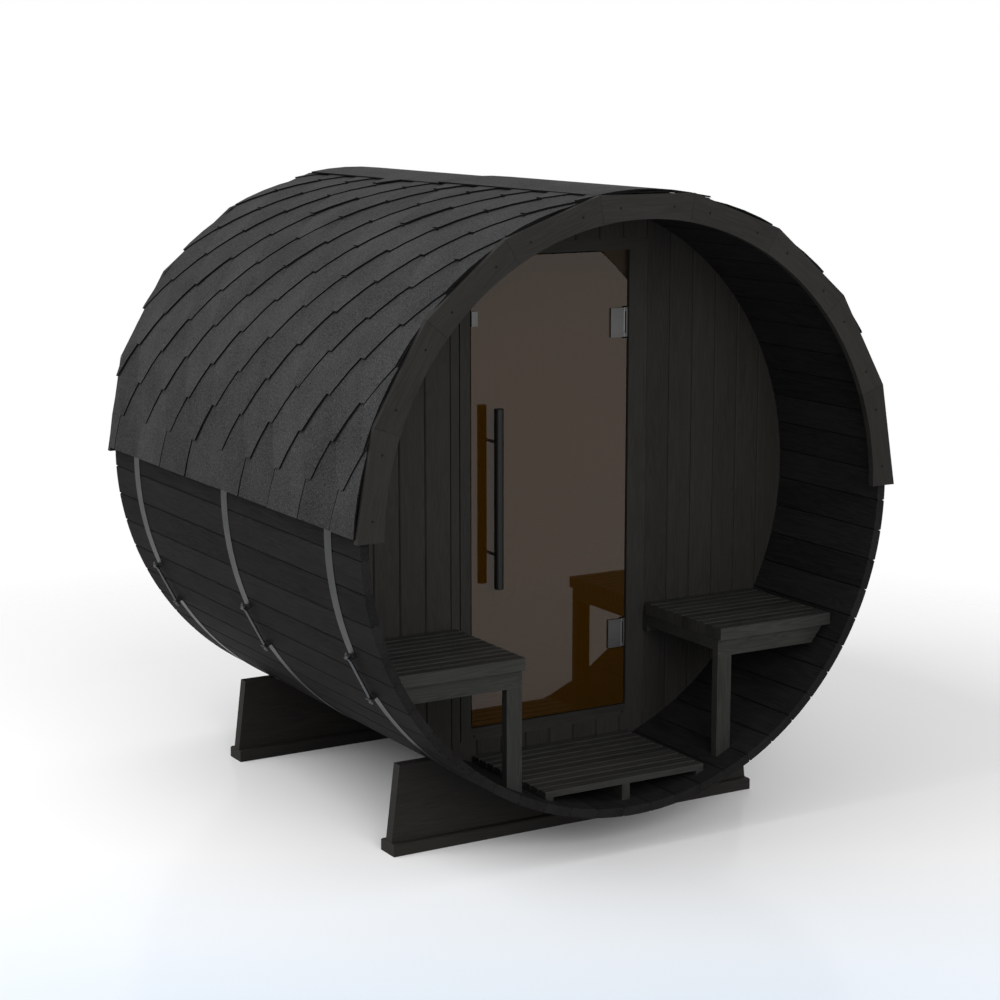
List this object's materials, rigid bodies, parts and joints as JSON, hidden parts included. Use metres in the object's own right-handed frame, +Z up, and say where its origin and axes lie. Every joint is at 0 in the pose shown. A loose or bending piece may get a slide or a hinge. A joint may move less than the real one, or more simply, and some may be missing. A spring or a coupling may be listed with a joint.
{
  "type": "barrel sauna",
  "caption": "Round timber sauna cabin of bead-and-cove staves on cradles, with a faceted roof, steel bands, a glass door in a board wall and a porch with slatted benches.",
  "frame": {"origin": "centre of the bounding box at ground level, under the cradle feet", "axes": "+X to the right seen from the porch end, +Y from the porch end to the rear end, +Z up"},
  "size_m": [2.0422, 2.034, 2.1313],
  "materials": {
    "dark_staves": "dark stained, satin",
    "dark_boards": "dark painted, satin",
    "roof_deck": "dark felt on board, matte",
    "bare_wood": "bare, planed",
    "black_bench": "dark stained, satin",
    "band_steel": "plain rolled",
    "bolt_steel": "plated",
    "hinge_steel": "satin",
    "black_metal": "powder coated, matte",
    "door_glass": "bronze tint, clear"
  },
  "bodies": {
    "barrel": {"top_staves": "dark_staves", "right_upper_staves": "dark_staves", "right_lower_staves": "dark_staves", "bottom_staves": "dark_staves", "left_lower_staves": "dark_staves", "left_upper_staves": "dark_staves", "roof_deck_left": "roof_deck", "roof_deck_top": "roof_deck", "roof_deck_right": "roof_deck", "front_fascia": "dark_boards", "rear_fascia": "dark_boards", "steel_bands": "band_steel", "tension_bolts": "bolt_steel", "front_cradle_foot": "dark_boards", "front_cradle_saddle": "dark_boards", "rear_cradle_foot": "dark_boards", "rear_cradle_saddle": "dark_boards", "front_wall_left": "dark_boards", "front_wall_right": "dark_boards", "front_wall_over_door": "dark_boards", "front_wall_under_door": "dark_boards", "rear_wall": "dark_boards", "door_jamb_left": "dark_boards", "door_jamb_right": "dark_boards", "door_head": "dark_boards", "door_threshold": "dark_boards", "door_corner_blocks": "bare_wood", "door_hinge_leaves": "hinge_steel", "porch_bench_left_slats": "black_bench", "porch_bench_left_frame": "black_bench", "porch_bench_right_slats": "black_bench", "porch_bench_right_frame": "black_bench", "cabin_bench_slats": "bare_wood", "cabin_bench_frame": "bare_wood", "porch_floor_slats": "black_bench", "porch_floor_bearers": "black_bench", "cabin_floor_slats": "bare_wood", "cabin_floor_bearers": "bare_wood"},
    "door": {"door_glass": "door_glass", "door_hinge_clamps": "hinge_steel", "outer_handle": "black_metal", "inner_handle": "bare_wood", "inner_handle_posts": "black_metal", "door_catch_plate": "hinge_steel"}
  },
  "joints": [
    {"name": "door_hinge", "type": "hinge", "parent": "barrel", "child": "door", "pos_m": [0.297, -0.442, 1.125], "axis": [0, 0, 1], "range_deg": [0, 90]}
  ]
}
